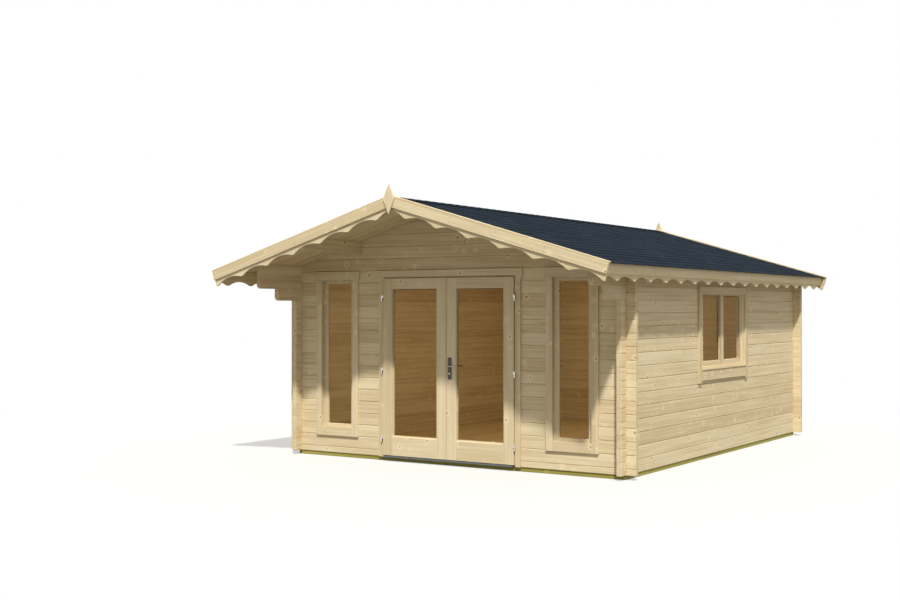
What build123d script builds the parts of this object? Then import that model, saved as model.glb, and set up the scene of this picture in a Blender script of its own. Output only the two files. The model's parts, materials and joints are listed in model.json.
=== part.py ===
"""A log cabin: interlocking log walls on timber bearers, a gable roof with a front canopy,
scalloped verge and eave boards, tall front windows and a glazed double door.

Sizes are in millimetres. +Z is up, the front faces -Y, and the origin is on the ground
under the middle of the roof.
"""

import os
from math import ceil, cos, radians, sin, tan

from build123d import *

# Fits and tool allowances
FIT = 0.3  # clearance between pieces that seat on each other
OVERRUN = 60.0  # how far a cutting tool runs past what it cuts
SWING_GAP = 5.0  # clearance around a door leaf

# Log walls
CABIN_W = 4240.0  # outer face to outer face
CABIN_D = 5292.0
LOG_PITCH = 135.0  # height of one log row
LOG_T = 58.0
LOG_EASE = 4.0  # chamfer on a log's outer long edges
SIDE_LOGS = 16  # rows in a side wall
CORNER_END = 105.0  # log end past the crossing wall
PLATE_RISE = 10.0  # roof underside above the side wall's last full row, at the inner face

# Canopy consoles: the upper side logs that run forward under the roof
CONSOLE_SHORT = 420.0
CONSOLE_LONG = 726.0
CONSOLE_LONG_ROWS = 2
CONSOLE_SHORT_ROWS = 1
CONSOLE_R = 50.0  # rounding under a console's end

# Bearers and floor
BEARER_H = 45.0
BEARER_W = 45.0
BEARER_INSET = 12.0  # bearer behind the wall's outer face
JOIST_W = 70.0
JOIST_PITCH = 585.0
FLOOR_T = 19.0
FLOOR_EDGE_GAP = 4.0

# Roof
ROOF_DEG = 16.44
FRONT_OVERHANG = 1088.0  # canopy, front wall to the bargeboards' front face
BACK_OVERHANG = 330.0
EAVE_OVERHANG = 279.0  # side wall to the fascia's outer face
DECK_T = 19.0
ROOFING_T = 4.0
ROOFING_DRIP = 36.0  # roofing past the fascia
PURLIN_W = 58.0
PURLIN_H = 126.0
PURLIN_X = 1209.0  # side purlin from the centre

# Verge and eave boards
BOARD_T = 19.0
CAP_T = 18.0
CAP_W = 46.0
BARGE_H = 100.0
VERGE_LAP = 66.0  # verge boards past the fascia
FASCIA_H = 105.0
TIP_DROP = 148.0  # scalloped board below the deck's underside, to the tips
ARCH_RISE = 44.0
VERGE_ARCH = 386.0  # pitch of the arches along a verge
EAVE_ARCH = 380.0  # pitch of the arches along an eave
TIP_FLAT = 30.0
FIRST_ARCH = 51.0  # first verge arch from the apex, along the slope
RIGHT_ARCH = 120.0  # first arch from the front end of the right eave board
LEFT_ARCH = -70.0  # first arch of the left eave board, cut off by its front end
EAVE_TIP_DROP = 154.0

# Finials
FINIAL_W = 136.0
FINIAL_T = 18.0
FINIAL_ABOVE = 107.0  # upper tip above the top of the verge
FINIAL_BELOW = 202.0  # lower tip below the top of the verge
FINIAL_WAIST = 44.0  # widest point below the top of the verge

# Double door, heights above the base of the logs
LEAF_HALF = 846.0  # centre to a leaf's hinge edge
LEAF_TOP = 1998.0
LEAF_T = 44.0
LEAF_PROUD = 40.0  # leaf front before the wall's outer face
MEETING_GAP = 8.0
STILE_W = 126.0
TOP_RAIL_H = 112.0
BOTTOM_RAIL_H = 214.0
GLASS_T = 6.0
GLASS_BED = 10.0  # glass held in its groove
BEAD_EASE = 9.0  # bevel around a leaf's glass
JAMB_T = 44.0
STOP_W = 14.0  # rebate that a leaf closes on
THRESHOLD_H = 18.0
THRESHOLD_NOSE = 48.0  # threshold before the wall's outer face

# Trims around the openings
TRIM_T = 24.0
DOOR_TRIM_W = 63.0
DOOR_TRIM_GAP = 9.0  # leaf's edge to the side trim
HEADER_H = 98.0
HEADER_WIDER = 20.0
HEADER_TOP = 2088.0
HEADER_GAP = 15.0  # header's cut-out above the leaves

# Hinges, three to a leaf
BARREL_R = 7.0
BARREL_L = 60.0
HINGE_OUT = 16.0  # axis outside the leaf's edge
LUG_T = 8.0  # arm from a barrel back to the casing
HINGE_ZS = (203.0, 970.0, 1780.0)

# Lever handle
PLATE_W = 46.0
PLATE_T = 8.0
PLATE_LOW = 896.0
PLATE_TOP = 1133.0
HANDLE_X = 48.0
LEVER_Z = 1040.0
NECK_R = 9.0
SPINDLE_R = 5.0
LEVER_REACH = 50.0  # plate face to the lever's middle
LEVER_T = 13.0
LEVER_EASE = 4.0
LEVER_L = 108.0
KEY_Z = 958.0
KEY_R = 9.0
KEY_PROUD = 5.0

# Tall front windows
WINDOW_SHARE = 0.502  # window's middle, from the door casing towards the corner
WINDOW_TRIM_W = 75.0
WINDOW_TRIM_HALF = 301.0
WINDOW_LOW = 196.0  # underside of the bottom trim
WINDOW_FOOT_H = 100.0
WINDOW_LAP = 8.0  # trims over the frame
FRAME_BACK = 28.0  # frame front behind the wall's outer face
FRAME_SIGHT = 48.0  # frame that shows beside the glass
FRAME_RAIL_SIGHT = 28.0  # frame that shows above and below the glass
GLASS_BACK = 41.0  # glass front behind the wall's outer face

# Side window with two casements
SIDE_TRIM_HALF = 774.0
SIDE_TRIM_W = 76.0
SIDE_TRIM_LOW = 820.0
SIDE_HEADER_LOW = 1833.0
SIDE_HEADER_TOP = 1915.0
SIDE_FOOT_LOW = 848.0
SILL_TOP = 986.0
SILL_T = 18.0
SILL_PROUD = 33.0
SIDE_FRAME_SIGHT = 58.0
SASH_STILE = 53.0
SASH_RAIL = 50.0
SASH_LOW = 1008.0
SASH_TOP = 1871.0
SASH_T = 40.0
SASH_BACK = 13.0  # sash front behind the wall's outer face
SASH_GLASS = 11.0  # glass front behind the sash front

# Derived reference values
ROOF_L = FRONT_OVERHANG + CABIN_D + BACK_OVERHANG
VERGE_Y = ROOF_L / 2
FRONT_Y = FRONT_OVERHANG - VERGE_Y
BACK_Y = FRONT_Y + CABIN_D
SIDE_X = CABIN_W / 2
BASE_Z = BEARER_H
SLOPE = radians(ROOF_DEG)
FASCIA_X = SIDE_X + EAVE_OVERHANG
DECK_EDGE = FASCIA_X - BOARD_T
WALL_Z = BASE_Z + SIDE_LOGS * LOG_PITCH
HEADER_LOW = HEADER_TOP - HEADER_H
LEAF_LOW = THRESHOLD_H + SWING_GAP
DOOR_HALF = LEAF_HALF + SWING_GAP + JAMB_T
DOOR_HEAD = LEAF_TOP + SWING_GAP + JAMB_T
HINGE_X = LEAF_HALF + HINGE_OUT
HINGE_Y = FRONT_Y - LEAF_PROUD - BARREL_R
DOOR_TRIM_IN = LEAF_HALF + DOOR_TRIM_GAP
DOOR_TRIM_OUT = DOOR_TRIM_IN + DOOR_TRIM_W
WINDOW_X = DOOR_TRIM_OUT + WINDOW_SHARE * (SIDE_X - DOOR_TRIM_OUT)
LEAF_FRONT = FRONT_Y - LEAF_PROUD
LEAF_BACK = LEAF_FRONT + LEAF_T
SASH_END = SIDE_TRIM_HALF - SIDE_TRIM_W - SIDE_FRAME_SIGHT
END_LOG_ENDS = SIDE_X + CORNER_END
BOARD_BACK = VERGE_Y - 2 * BOARD_T


def under_roof(x):
    """Height of the roof boards' underside at a distance from the centre."""
    return WALL_Z + PLATE_RISE + tan(SLOPE) * (SIDE_X - LOG_T - abs(x))


APEX_Z = under_roof(0)
TOP_Z = APEX_Z + (DECK_T + ROOFING_T + CAP_T) / cos(SLOPE)
VERGE_END = (FASCIA_X + VERGE_LAP) / cos(SLOPE)


def block(x0, x1, y0, y1, z0, z1):
    """A box between two opposite corners."""
    middle = Pos((x0 + x1) / 2, (y0 + y1) / 2, (z0 + z1) / 2)
    return middle * Box(x1 - x0, y1 - y0, z1 - z0)


def prism(points, y0, y1):
    """A solid with an outline in X and Z, from y0 to y1."""
    face = make_face(Polyline(*points, close=True))
    return Pos(0, y1, 0) * extrude(Plane.XZ * face, y1 - y0)


def both_sides(shape):
    """The shape and its mirror image across the centre plane."""
    return [shape, mirror(shape, about=Plane.YZ)]


def both_ends(shapes):
    """The shapes and their mirror images at the back of the roof."""
    return [*shapes, *[mirror(shape, about=Plane.XZ) for shape in shapes]]


nodes = {}


def add(name, *shapes):
    """Puts every solid of the shapes into one named node."""
    for shape in shapes:
        nodes.setdefault(name, []).extend(shape.solids())


# Logs
def log_bar(length, low, high):
    """One log along X from the origin, between two heights, its outer edges eased at -Y."""
    section = Rectangle(LOG_T, high - low)
    section = chamfer(section.vertices().group_by(Axis.X)[0], LOG_EASE)
    return Pos(0, 0, (low + high) / 2) * extrude(Plane.YZ * section, length)


def side_row(row):
    """Middle, low and high of a side wall's log; the last one runs up into the roof."""
    middle = BASE_Z + row * LOG_PITCH + LOG_PITCH / 2
    high = middle + (LOG_PITCH - FIT) / 2
    if row == SIDE_LOGS - 1:
        high = WALL_Z + PLATE_RISE + OVERRUN
    return middle, middle - (LOG_PITCH - FIT) / 2, high


END_ROWS = 1 + int((APEX_Z - BASE_Z) / LOG_PITCH)


def end_row(row):
    """Middle, low and high of a front or back log; the first is a half, the last fills the apex."""
    middle = BASE_Z + row * LOG_PITCH
    high = middle + (LOG_PITCH - FIT) / 2
    if row == END_ROWS - 1:
        high = APEX_Z + OVERRUN
    return middle, max(BASE_Z, middle - (LOG_PITCH - FIT) / 2), high


def notches(middle, low, high, near, far, across):
    """Cuts that leave a log its middle half where it crosses another wall."""
    keep = LOG_PITCH / 2 / 2 - FIT / 2
    cuts = []
    for z0, z1 in ((low - OVERRUN, middle - keep), (middle + keep, high + OVERRUN)):
        if z1 > z0:
            cuts.append(across(near - FIT, far + FIT, z0, z1))
    return cuts


roof_space = prism(
    [
        (-FASCIA_X, -OVERRUN),
        (FASCIA_X, -OVERRUN),
        (FASCIA_X, under_roof(FASCIA_X) - FIT),
        (0, APEX_Z - FIT),
        (-FASCIA_X, under_roof(FASCIA_X) - FIT),
    ],
    -ROOF_L,
    ROOF_L,
)


def front_reach(row):
    """How far a side log runs past the front wall."""
    from_top = SIDE_LOGS - row
    if from_top <= CONSOLE_LONG_ROWS:
        return CONSOLE_LONG
    if from_top <= CONSOLE_LONG_ROWS + CONSOLE_SHORT_ROWS:
        return CONSOLE_SHORT
    return CORNER_END


def side_log(row):
    """A log of the right wall, notched at both corners, its console end rounded below."""
    middle, low, high = side_row(row)
    y0, y1 = FRONT_Y - front_reach(row), BACK_Y + CORNER_END
    x_mid = SIDE_X - LOG_T / 2
    shape = Pos(x_mid, y0, 0) * Rot(0, 0, 90) * log_bar(y1 - y0, low, high)

    def across(near, far, z0, z1):
        return block(x_mid - LOG_T, x_mid + LOG_T, near, far, z0, z1)

    for near in (FRONT_Y, BACK_Y - LOG_T):
        for cut in notches(middle, low, high, near, near + LOG_T, across):
            shape -= cut
    reach = front_reach(row)
    if reach > CORNER_END and front_reach(row - 1) < reach:
        y_nose, z_nose = y0 + CONSOLE_R, low + CONSOLE_R
        corner = across(y0 - OVERRUN, y_nose, low - OVERRUN, z_nose)
        nose = Rot(0, 90, 0) * Cylinder(CONSOLE_R, 2 * LOG_T + OVERRUN)
        shape -= corner - Pos(x_mid, y_nose, z_nose) * nose
    if row == SIDE_LOGS - 1:
        shape = shape & roof_space
    return shape


def end_log(row, y_mid, turn):
    """A log of the front wall, or turned by half a circle one of the back wall."""
    middle, low, high = end_row(row)
    half = Pos(-END_LOG_ENDS, 0, 0) * log_bar(2 * END_LOG_ENDS, low, high)
    shape = Pos(0, y_mid, 0) * Rot(0, 0, turn) * half

    def across(near, far, z0, z1):
        return block(near, far, y_mid - LOG_T, y_mid + LOG_T, z0, z1)

    for near in (-SIDE_X, SIDE_X - LOG_T):
        for cut in notches(middle, low, high, near, near + LOG_T, across):
            shape -= cut
    if high > under_roof(END_LOG_ENDS) - FIT:
        shape = shape & roof_space
        for pocket in purlin_pockets:
            shape -= pocket
    return shape


# Purlins, let into the gables
def purlin(x_mid, spare):
    """A purlin under the roof boards, or with spare above zero the pocket that it lies in."""
    half = PURLIN_W / 2 + spare
    end = BOARD_BACK - FIT + OVERRUN * bool(spare)
    low = under_roof(x_mid) - PURLIN_H - spare
    bar = block(x_mid - half, x_mid + half, -end, end, low, APEX_Z + OVERRUN)
    return bar if spare else bar & roof_space


purlin_pockets = [purlin(x_mid, FIT) for x_mid in (-PURLIN_X, 0, PURLIN_X)]
add("ridge_purlin", purlin(0, 0))
add("side_purlins", *both_sides(purlin(PURLIN_X, 0)))

# Openings through the logs
WINDOW_HALF = WINDOW_TRIM_HALF - WINDOW_TRIM_W + WINDOW_LAP
WINDOW_SILL = BASE_Z + WINDOW_LOW + WINDOW_FOOT_H - WINDOW_LAP
WINDOW_HEAD = BASE_Z + HEADER_LOW + WINDOW_LAP
SIDE_HALF = SIDE_TRIM_HALF - SIDE_TRIM_W + WINDOW_LAP
SIDE_SILL = BASE_Z + SILL_TOP - SILL_T
SIDE_HEAD = BASE_Z + SIDE_HEADER_TOP - WINDOW_LAP
SIDE_MID = FRONT_Y + CABIN_D / 2


def front_hole(x_mid, half, low, high):
    """An opening through the front wall."""
    y0, y1 = FRONT_Y - OVERRUN, FRONT_Y + LOG_T + OVERRUN
    return block(x_mid - half, x_mid + half, y0, y1, low, high)


front_holes = [
    front_hole(0, DOOR_HALF + FIT, BASE_Z - OVERRUN, BASE_Z + DOOR_HEAD + FIT),
    front_hole(-WINDOW_X, WINDOW_HALF + FIT, WINDOW_SILL - FIT, WINDOW_HEAD + FIT),
    front_hole(WINDOW_X, WINDOW_HALF + FIT, WINDOW_SILL - FIT, WINDOW_HEAD + FIT),
]
side_hole = block(
    SIDE_X - LOG_T - OVERRUN,
    SIDE_X + OVERRUN,
    SIDE_MID - SIDE_HALF - FIT,
    SIDE_MID + SIDE_HALF + FIT,
    SIDE_SILL - FIT,
    SIDE_HEAD + FIT,
)


def front_log_node(row, solid):
    """The node that a piece of a front log belongs to."""
    box = solid.bounding_box()
    if row > SIDE_LOGS:
        return "front_gable_logs"
    if box.min.X < 0 < box.max.X:
        is_cut = box.min.Z < BASE_Z + DOOR_HEAD
        return "front_wall_lintel_log" if is_cut else "front_wall_head_log"
    side = "left" if box.max.X < 0 else "right"
    inner = min(abs(box.min.X), abs(box.max.X))
    outer = max(abs(box.min.X), abs(box.max.X))
    if outer < SIDE_X - LOG_T:
        return f"front_wall_{side}_pier_logs"
    if inner > WINDOW_X:
        return f"front_wall_{side}_corner_logs"
    return "front_wall_lower_logs"


def right_log_node(solid):
    """The node that a piece of a right wall log belongs to."""
    box = solid.bounding_box()
    if box.max.Y < SIDE_MID:
        return "right_wall_front_logs"
    if box.min.Y > SIDE_MID:
        return "right_wall_rear_logs"
    is_low = box.min.Z + box.max.Z < SIDE_SILL + SIDE_HEAD
    return "right_wall_lower_logs" if is_low else "right_wall_upper_logs"


for row in range(END_ROWS):
    front = end_log(row, FRONT_Y + LOG_T / 2, 0)
    for hole in front_holes:
        front = front - hole
    for solid in front.solids():
        add(front_log_node(row, solid), solid)
    back_name = "back_gable_logs" if row > SIDE_LOGS else "back_wall_logs"
    add(back_name, end_log(row, BACK_Y - LOG_T / 2, 180))

for row in range(SIDE_LOGS):
    right = side_log(row)
    add("left_wall_logs", mirror(right, about=Plane.YZ))
    for solid in (right - side_hole).solids():
        add(right_log_node(solid), solid)


# Bearers and floor
BEARER_X = SIDE_X - BEARER_INSET
BEARER_FRONT = FRONT_Y + BEARER_INSET
BEARER_BACK = BACK_Y - BEARER_INSET
INNER_X = BEARER_X - BEARER_W
back_bearer = block(-BEARER_X, BEARER_X, BEARER_BACK - BEARER_W, BEARER_BACK, 0, BEARER_H)
side_bearer = block(
    INNER_X, BEARER_X, BEARER_FRONT, BEARER_BACK - BEARER_W - FIT, 0, BEARER_H
)
add("perimeter_bearers", back_bearer, *both_sides(side_bearer))

joist_low = ceil((BEARER_FRONT + BEARER_W + JOIST_W) / JOIST_PITCH)
joist_high = int((BEARER_BACK - BEARER_W - JOIST_W) / JOIST_PITCH)
for step in range(joist_low, joist_high + 1):
    y_mid = step * JOIST_PITCH
    y0, y1 = y_mid - JOIST_W / 2, y_mid + JOIST_W / 2
    add("floor_joists", block(FIT - INNER_X, INNER_X - FIT, y0, y1, 0, BEARER_H))

floor_x = SIDE_X - LOG_T - FLOOR_EDGE_GAP
floor_y0 = FRONT_Y + LOG_T + FLOOR_EDGE_GAP
floor_y1 = BACK_Y - LOG_T - FLOOR_EDGE_GAP
add("floor_deck", block(-floor_x, floor_x, floor_y0, floor_y1, BEARER_H, BEARER_H + FLOOR_T))


# Roof boards and roofing
def roof_slab(low, thickness, edge):
    """One slope of the roof: a slab that starts at a distance above the boards' underside."""
    rise_low = low / cos(SLOPE)
    rise_high = (low + thickness) / cos(SLOPE)
    x0 = FIT / 2
    outline = [
        (x0, under_roof(x0) + rise_low),
        (edge, under_roof(edge) + rise_low),
        (edge, under_roof(edge) + rise_high),
        (x0, under_roof(x0) + rise_high),
    ]
    return prism(outline, BOARD_T - VERGE_Y, VERGE_Y - BOARD_T)


right_deck, left_deck = both_sides(roof_slab(0, DECK_T, DECK_EDGE))
right_cover, left_cover = both_sides(roof_slab(DECK_T, ROOFING_T, FASCIA_X + ROOFING_DRIP))
add("right_roof_deck", right_deck)
add("left_roof_deck", left_deck)
add("right_roofing", right_cover)
add("left_roofing", left_cover)


# Verge boards, drawn along the slope from the top of the verge at the apex
slope_x = (cos(SLOPE), 0, -sin(SLOPE))
half_roof = block(FIT / 2, ROOF_L, -ROOF_L, ROOF_L, 0, ROOF_L)


def strip(start, end, low, high):
    """A flat outline along the slope, between two depths under the top of the verge."""
    return Pos((start + end) / 2, -(low + high) / 2) * Rectangle(end - start, high - low)


def arches(first, pitch, count, tips):
    """The round cut-outs of a scalloped edge whose tips lie at a depth."""
    chord = pitch - TIP_FLAT
    radius = (chord * chord / 2 / 2 + ARCH_RISE * ARCH_RISE) / (2 * ARCH_RISE)
    middle = tips + radius - ARCH_RISE
    return [Pos(first + step * pitch, -middle) * Circle(radius) for step in range(count)]


def verge(outline, y_out, thickness):
    """The four boards of one kind, front and back, left and right, mitred at the apex."""
    plane = Plane(origin=(0, thickness - y_out, TOP_Z), x_dir=slope_x, z_dir=(0, -1, 0))
    board = extrude(plane * outline, thickness) & half_roof
    return both_ends(both_sides(board))


DECK_DEPTH = CAP_T + ROOFING_T + DECK_T
verge_arches = 1 + int((VERGE_END - FIRST_ARCH) / VERGE_ARCH)
scallops = strip(-OVERRUN, VERGE_END, DECK_DEPTH + FIT, DECK_DEPTH + TIP_DROP)
scallops -= arches(FIRST_ARCH, VERGE_ARCH, verge_arches, DECK_DEPTH + TIP_DROP)
barges = verge(strip(-OVERRUN, VERGE_END, CAP_T, CAP_T + BARGE_H), VERGE_Y, BOARD_T)
add("front_bargeboards", *barges[:2])
add("back_bargeboards", *barges[2:])
lace = verge(scallops, VERGE_Y - BOARD_T, BOARD_T)
add("front_scalloped_boards", *lace[:2])
add("back_scalloped_boards", *lace[2:])
add("verge_caps", *verge(strip(-OVERRUN, VERGE_END, 0, CAP_T - FIT), VERGE_Y, CAP_W))

# Eave boards
eave_end = BOARD_BACK - FIT
eave_top = under_roof(DECK_EDGE)
fascia_top = under_roof(FASCIA_X) + DECK_T / cos(SLOPE)
fascia_low = fascia_top - FASCIA_H
fascia = block(DECK_EDGE + FIT, FASCIA_X, -eave_end, eave_end, fascia_low, fascia_top)
add("eave_fascias", *both_sides(fascia))
eave_arches = 1 + ceil(2 * eave_end / EAVE_ARCH)
eave_plane = Plane(origin=(DECK_EDGE - BOARD_T, 0, eave_top), x_dir=(0, 1, 0), z_dir=(1, 0, 0))


def eave_lace(first_arch):
    """A scalloped board along the right eave, its first arch at a distance from the front end."""
    outline = strip(-eave_end, eave_end, FIT, EAVE_TIP_DROP)
    outline -= arches(first_arch - eave_end, EAVE_ARCH, eave_arches, EAVE_TIP_DROP)
    return extrude(eave_plane * outline, BOARD_T)


left_lace = mirror(eave_lace(LEFT_ARCH), about=Plane.YZ)
add("eave_scalloped_boards", eave_lace(RIGHT_ARCH), left_lace)

# Finials
finial_outline = [
    (0, TOP_Z + FINIAL_ABOVE),
    (FINIAL_W / 2, TOP_Z - FINIAL_WAIST),
    (0, TOP_Z - FINIAL_BELOW),
    (-FINIAL_W / 2, TOP_Z - FINIAL_WAIST),
]
add("finials", *both_ends([prism(finial_outline, -VERGE_Y - FINIAL_T, -VERGE_Y)]))


# Double door
def front_bar(x0, x1, d0, d1, z0, z1):
    """A box in the front wall: depths run inwards from its outer face, heights from its base."""
    return block(x0, x1, FRONT_Y + d0, FRONT_Y + d1, BASE_Z + z0, BASE_Z + z1)


jamb_in = LEAF_HALF + SWING_GAP
stop_d = LEAF_T - LEAF_PROUD + SWING_GAP
jamb = front_bar(jamb_in, DOOR_HALF, 0, LOG_T, 0, DOOR_HEAD)
jamb += front_bar(jamb_in - STOP_W, jamb_in, stop_d, LOG_T, 0, DOOR_HEAD - JAMB_T)
head = front_bar(FIT - jamb_in, jamb_in - FIT, 0, LOG_T, DOOR_HEAD - JAMB_T, DOOR_HEAD)
stop_x = jamb_in - STOP_W - FIT
head += front_bar(
    -stop_x, stop_x, stop_d, LOG_T, DOOR_HEAD - JAMB_T - STOP_W, DOOR_HEAD - JAMB_T
)
add("door_frame", *both_sides(jamb), head)

header_x = DOOR_TRIM_OUT + HEADER_WIDER
side_trim = front_bar(DOOR_TRIM_IN, DOOR_TRIM_OUT, -TRIM_T, 0, 0, HEADER_LOW - FIT)
header = front_bar(-header_x, header_x, -TRIM_T, 0, HEADER_LOW, HEADER_TOP)
cut_low, cut_top = HEADER_LOW - OVERRUN, LEAF_TOP + HEADER_GAP
header -= front_bar(-DOOR_TRIM_IN, DOOR_TRIM_IN, -OVERRUN, OVERRUN, cut_low, cut_top)
add("door_casing", *both_sides(side_trim), header)

threshold_d = LOG_T + FLOOR_EDGE_GAP - FIT
add("door_threshold", front_bar(-stop_x, stop_x, -THRESHOLD_NOSE, threshold_d, 0, THRESHOLD_H))
front_bearer = block(
    FIT - INNER_X, INNER_X - FIT, BEARER_FRONT, BEARER_FRONT + BEARER_W, 0, BEARER_H
)
add("perimeter_bearers", front_bearer)


def leaf_glass(spare):
    """The right leaf's pane, or with spare above zero the groove that it sits in."""
    grow = GLASS_BED + spare
    x0, x1 = MEETING_GAP / 2 + STILE_W, LEAF_HALF - STILE_W
    mid = (LEAF_T - LEAF_PROUD * 2) / 2
    half = GLASS_T / 2 + spare
    z0, z1 = LEAF_LOW + BOTTOM_RAIL_H, LEAF_TOP - TOP_RAIL_H
    return front_bar(x0 - grow, x1 + grow, mid - half, mid + half, z0 - grow, z1 + grow)


def door_leaf():
    """The right leaf: stiles and rails around a bevelled opening with its glass groove."""
    d0, d1 = -LEAF_PROUD, LEAF_T - LEAF_PROUD
    x0, x1 = MEETING_GAP / 2, LEAF_HALF
    leaf = front_bar(x0, x1, d0, d1, LEAF_LOW, LEAF_TOP)
    z0, z1 = LEAF_LOW + BOTTOM_RAIL_H, LEAF_TOP - TOP_RAIL_H
    leaf -= front_bar(x0 + STILE_W, x1 - STILE_W, d0 - OVERRUN, d1 + OVERRUN, z0, z1)
    rim = leaf.faces().sort_by(Axis.Y)[0].inner_wires()[0].edges()
    leaf = chamfer(rim, BEAD_EASE)
    return leaf - leaf_glass(FIT)


right_leaf = door_leaf()
left_leaf = mirror(right_leaf, about=Plane.YZ)
add("left_door_leaf", left_leaf)
add("left_door_glass", mirror(leaf_glass(0), about=Plane.YZ))
add("right_door_glass", leaf_glass(0))


# Hinges: the lower knuckle stays on the frame, the upper one stands on it and turns with the leaf
def rod(x, y, z0, z1, radius):
    """An upright round bar."""
    return Pos(x, y, z0) * Cylinder(radius, z1 - z0, align=(Align.CENTER, Align.CENTER, Align.MIN))


trim_y = FRONT_Y - TRIM_T
for hinge_z in HINGE_ZS:
    z_mid = BASE_Z + hinge_z
    z0, z1 = z_mid - BARREL_L / 2, z_mid + BARREL_L / 2
    split_low, split_high = z_mid - FIT / 2, z_mid + FIT / 2
    lug_x0, lug_x1 = HINGE_X - LUG_T / 2, HINGE_X + LUG_T / 2
    lower = rod(HINGE_X, HINGE_Y, z0, split_low, BARREL_R)
    lower += block(lug_x0, lug_x1, HINGE_Y, trim_y, z0, split_low)
    add("frame_hinges", *both_sides(lower))
    upper = rod(HINGE_X, HINGE_Y, split_high, z1, BARREL_R)
    upper += block(LEAF_HALF, HINGE_X, HINGE_Y, trim_y - SWING_GAP, split_high, z1)
    right_half, left_half = both_sides(upper)
    add("right_door_hinges", right_half)
    add("left_door_hinges", left_half)


# Lever handle, the same inside and outside
def across_leaf(x, z, y0, y1, radius):
    """A round bar through the leaf's thickness."""
    bar = Cylinder(radius, y1 - y0, align=(Align.CENTER, Align.CENTER, Align.MIN))
    return Pos(x, y0, BASE_Z + z) * Rot(-90, 0, 0) * bar


LEAF_MID = (LEAF_FRONT + LEAF_BACK) / 2
leaf_centre = Plane(origin=(0, LEAF_MID, 0), z_dir=(0, 1, 0))
plate_y = LEAF_FRONT - PLATE_T
plate = block(
    HANDLE_X - PLATE_W / 2,
    HANDLE_X + PLATE_W / 2,
    plate_y,
    LEAF_FRONT,
    BASE_Z + PLATE_LOW,
    BASE_Z + PLATE_TOP,
)
plate += across_leaf(HANDLE_X, KEY_Z, plate_y - KEY_PROUD, plate_y, KEY_R)
spindle_hole = across_leaf(
    HANDLE_X, LEVER_Z, plate_y - OVERRUN, LEAF_BACK + OVERRUN, NECK_R + FIT
)
plate -= spindle_hole
add("handle_plates", plate, mirror(plate, about=leaf_centre))
add("right_door_leaf", right_leaf - spindle_hole)

lever_y = plate_y - LEVER_REACH
lever = across_leaf(HANDLE_X, LEVER_Z, lever_y, LEAF_FRONT, NECK_R)
grip = block(
    HANDLE_X - NECK_R,
    HANDLE_X + LEVER_L,
    lever_y - LEVER_T / 2,
    lever_y + LEVER_T / 2,
    BASE_Z + LEVER_Z - NECK_R,
    BASE_Z + LEVER_Z + NECK_R,
)
lever += chamfer(grip.edges().filter_by(Axis.X) + grip.edges().filter_by(Axis.Y), LEVER_EASE)
lever += mirror(lever, about=leaf_centre)
lever += across_leaf(HANDLE_X, LEVER_Z, LEAF_FRONT, LEAF_BACK, SPINDLE_R)
add("door_lever", lever)


# Windows, drawn with X along the wall, Y inwards from its outer face and Z up
def glazed_ring(half, low, high, side, rail, d0, d1, glass_d):
    """Four frame members around a pane in its groove: (members, pane)."""
    x_in, z_in0, z_in1 = half - side, low + rail, high - rail

    def filling(bed, spare):
        g0, g1 = glass_d - spare, glass_d + GLASS_T + spare
        return block(-x_in - bed, x_in + bed, g0, g1, z_in0 - bed, z_in1 + bed)

    groove = filling(GLASS_BED + FIT, FIT)
    post = block(x_in, half, d0, d1, low, high) - groove
    foot = block(FIT - x_in, x_in - FIT, d0, d1, low, z_in0) - groove
    top = block(FIT - x_in, x_in - FIT, d0, d1, z_in1, high) - groove
    return [*both_sides(post), foot, top], filling(GLASS_BED, 0)


def plain_ring(half, low, high, side, foot_h, top_h, d0, d1):
    """Four plain frame members around an opening."""
    x_in = half - side
    post = block(x_in, half, d0, d1, low, high)
    foot = block(FIT - x_in, x_in - FIT, d0, d1, low, low + foot_h)
    top = block(FIT - x_in, x_in - FIT, d0, d1, high - top_h, high)
    return [*both_sides(post), foot, top]


members, pane = glazed_ring(
    WINDOW_HALF,
    WINDOW_SILL,
    WINDOW_HEAD,
    FRAME_SIGHT + WINDOW_LAP,
    FRAME_RAIL_SIGHT + WINDOW_LAP,
    FRAME_BACK,
    LOG_T,
    GLASS_BACK,
)
side_x0 = WINDOW_TRIM_HALF - WINDOW_TRIM_W
low_z, head_z, top_z = BASE_Z + WINDOW_LOW, BASE_Z + HEADER_LOW, BASE_Z + HEADER_TOP
upright = block(side_x0, WINDOW_TRIM_HALF, -TRIM_T, 0, low_z, head_z - FIT)
header_x = WINDOW_TRIM_HALF + HEADER_WIDER
window_header = block(-header_x, header_x, -TRIM_T, 0, head_z, top_z)
foot_x = side_x0 - FIT
window_foot = block(-foot_x, foot_x, -TRIM_T, 0, low_z, low_z + WINDOW_FOOT_H)
for x_mid in (-WINDOW_X, WINDOW_X):
    place = Pos(x_mid, FRONT_Y, 0)
    add("front_window_frames", *[place * member for member in members])
    add("front_window_glass", place * pane)
    trims = [*both_sides(upright), window_header, window_foot]
    add("front_window_casings", *[place * trim for trim in trims])

side_place = Pos(SIDE_X, SIDE_MID, 0) * Rot(0, 0, 90)
jamb_w = SIDE_HALF - SASH_END
sash_low, sash_top = BASE_Z + SASH_LOW, BASE_Z + SASH_TOP
side_frame = plain_ring(
    SIDE_HALF,
    SIDE_SILL + SILL_T + FIT,
    SIDE_HEAD,
    jamb_w,
    sash_low - FIT - SIDE_SILL - SILL_T - FIT,
    SIDE_HEAD - sash_top - FIT,
    0,
    LOG_T,
)
add("side_window_frame", *[side_place * member for member in side_frame])

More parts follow.
